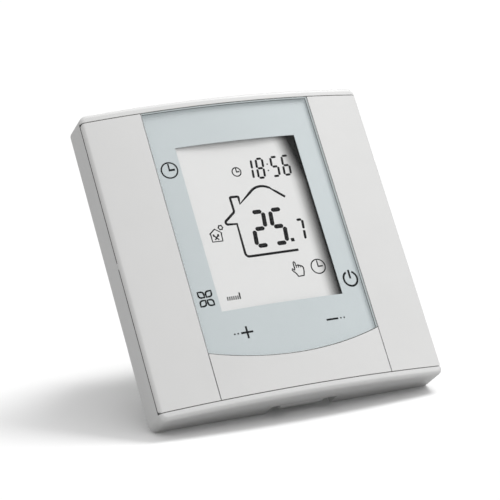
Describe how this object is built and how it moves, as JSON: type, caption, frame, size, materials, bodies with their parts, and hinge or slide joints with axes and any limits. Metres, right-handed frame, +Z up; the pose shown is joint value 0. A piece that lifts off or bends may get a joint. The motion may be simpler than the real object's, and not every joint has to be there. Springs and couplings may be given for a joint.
{
  "type": "wall thermostat",
  "caption": "Wall thermostat with a crowned touch front and display that hangs on a wall plate, and a power box with wire terminals that sits in the wall.",
  "frame": {"origin": "on the wall plane, midway between the two wall screws", "axes": "+Z up the wall, the front faces -Y and the power box reaches to +Y, +X to the right of someone who looks at the front"},
  "size_m": [0.086, 0.043, 0.09],
  "materials": {
    "housing_plastic": "satin moulded",
    "panel_plastic": "soft gloss",
    "lens_plastic": "clear, polished",
    "printed_film": "screen printed behind",
    "display_glass": "liquid crystal display with a grey field",
    "white_plastic": "moulded",
    "guide_plastic": "clear",
    "led": "moulded",
    "contact_rubber": "striped",
    "spring_steel": "plated wire",
    "circuit_board": "solder mask",
    "screw_steel": "zinc plated",
    "chip_plastic": "moulded",
    "can_metal": "drawn can",
    "cell_steel": "brushed",
    "connector_plastic": "moulded",
    "bead": "dipped",
    "plate_plastic": "fine texture",
    "box_plastic": "fine texture",
    "relay_plastic": "moulded case",
    "capacitor_sleeve": "shrink sleeve",
    "capacitor_yellow": "moulded case",
    "varistor_blue": "dipped",
    "fuse_ceramic": "glazed with metal caps",
    "ferrite": "sintered",
    "winding_tape": "wound tape",
    "terminal_green": "moulded",
    "brass": "tin-free strip",
    "clamp_steel": "plated"
  },
  "bodies": {
    "wall_unit": {"wall_plate": "plate_plastic", "rear_box": "box_plastic", "box_screws": "screw_steel", "power_board": "circuit_board", "power_board_screws": "screw_steel", "relay": "relay_plastic", "bulk_capacitors": "capacitor_sleeve", "film_capacitor": "capacitor_yellow", "varistor": "varistor_blue", "fuse": "fuse_ceramic", "transformer_core": "ferrite", "transformer_coil": "winding_tape", "socket_header": "chip_plastic", "terminal_block": "terminal_green", "terminal_bars": "brass", "latch_spring": "spring_steel"},
    "front_unit": {"front_housing": "housing_plastic", "side_strip_left": "panel_plastic", "side_strip_right": "panel_plastic", "lower_fascia": "panel_plastic", "touch_lens": "lens_plastic", "print_film": "printed_film", "lcd_glass": "display_glass", "lcd_frame": "white_plastic", "light_guide": "guide_plastic", "backlight_leds": "led", "zebra_strips": "contact_rubber", "touch_springs": "spring_steel", "control_board": "circuit_board", "board_screws": "screw_steel", "microcontroller": "chip_plastic", "crystal": "can_metal", "buzzer": "chip_plastic", "cell_holder": "connector_plastic", "coin_cell": "cell_steel", "air_thermistor": "bead", "pin_header": "chip_plastic"},
    "latch": {"release_latch": "housing_plastic"},
    "screw_1": {"terminal_screw_1": "screw_steel"},
    "clamp_1": {"wire_clamp_1": "clamp_steel"},
    "screw_2": {"terminal_screw_2": "screw_steel"},
    "clamp_2": {"wire_clamp_2": "clamp_steel"},
    "screw_3": {"terminal_screw_3": "screw_steel"},
    "clamp_3": {"wire_clamp_3": "clamp_steel"},
    "screw_4": {"terminal_screw_4": "screw_steel"},
    "clamp_4": {"wire_clamp_4": "clamp_steel"},
    "screw_5": {"terminal_screw_5": "screw_steel"},
    "clamp_5": {"wire_clamp_5": "clamp_steel"},
    "screw_6": {"terminal_screw_6": "screw_steel"},
    "clamp_6": {"wire_clamp_6": "clamp_steel"}
  },
  "joints": [
    {"name": "front_swing", "type": "hinge", "parent": "wall_unit", "child": "front_unit", "pos_m": [0, -0.0022, 0.0422], "axis": [-1, 0, 0], "range_deg": [0, 12]},
    {"name": "latch_press", "type": "slide", "parent": "wall_unit", "child": "latch", "axis": [0, 0, 1], "range_m": [0, 0.0018], "stiffness_N_per_m": 800, "springref_m": -0.0006, "deforming": ["latch_spring"]},
    {"name": "terminal_turn_1", "type": "hinge", "parent": "wall_unit", "child": "screw_1", "pos_m": [-0.01875, 0.027, -0.017], "axis": [0, -1, 0], "range_deg": [0, 2321]},
    {"name": "clamp_close_1", "type": "slide", "parent": "wall_unit", "child": "clamp_1", "axis": [0, 1, 0], "range_m": [0, 0.0029]},
    {"name": "terminal_turn_2", "type": "hinge", "parent": "wall_unit", "child": "screw_2", "pos_m": [-0.01125, 0.027, -0.017], "axis": [0, -1, 0], "range_deg": [0, 2321]},
    {"name": "clamp_close_2", "type": "slide", "parent": "wall_unit", "child": "clamp_2", "axis": [0, 1, 0], "range_m": [0, 0.0029]},
    {"name": "terminal_turn_3", "type": "hinge", "parent": "wall_unit", "child": "screw_3", "pos_m": [-0.00375, 0.027, -0.017], "axis": [0, -1, 0], "range_deg": [0, 2321]},
    {"name": "clamp_close_3", "type": "slide", "parent": "wall_unit", "child": "clamp_3", "axis": [0, 1, 0], "range_m": [0, 0.0029]},
    {"name": "terminal_turn_4", "type": "hinge", "parent": "wall_unit", "child": "screw_4", "pos_m": [0.00375, 0.027, -0.017], "axis": [0, -1, 0], "range_deg": [0, 2321]},
    {"name": "clamp_close_4", "type": "slide", "parent": "wall_unit", "child": "clamp_4", "axis": [0, 1, 0], "range_m": [0, 0.0029]},
    {"name": "terminal_turn_5", "type": "hinge", "parent": "wall_unit", "child": "screw_5", "pos_m": [0.01125, 0.027, -0.017], "axis": [0, -1, 0], "range_deg": [0, 2321]},
    {"name": "clamp_close_5", "type": "slide", "parent": "wall_unit", "child": "clamp_5", "axis": [0, 1, 0], "range_m": [0, 0.0029]},
    {"name": "terminal_turn_6", "type": "hinge", "parent": "wall_unit", "child": "screw_6", "pos_m": [0.01875, 0.027, -0.017], "axis": [0, -1, 0], "range_deg": [0, 2321]},
    {"name": "clamp_close_6", "type": "slide", "parent": "wall_unit", "child": "clamp_6", "axis": [0, 1, 0], "range_m": [0, 0.0029]}
  ],
  "couplings": [
    {"joint": "terminal_turn_1", "follows": "clamp_close_1", "rad_per_m": 13963},
    {"joint": "terminal_turn_2", "follows": "clamp_close_2", "rad_per_m": 13963},
    {"joint": "terminal_turn_3", "follows": "clamp_close_3", "rad_per_m": 13963},
    {"joint": "terminal_turn_4", "follows": "clamp_close_4", "rad_per_m": 13963},
    {"joint": "terminal_turn_5", "follows": "clamp_close_5", "rad_per_m": 13963},
    {"joint": "terminal_turn_6", "follows": "clamp_close_6", "rad_per_m": 13963}
  ]
}
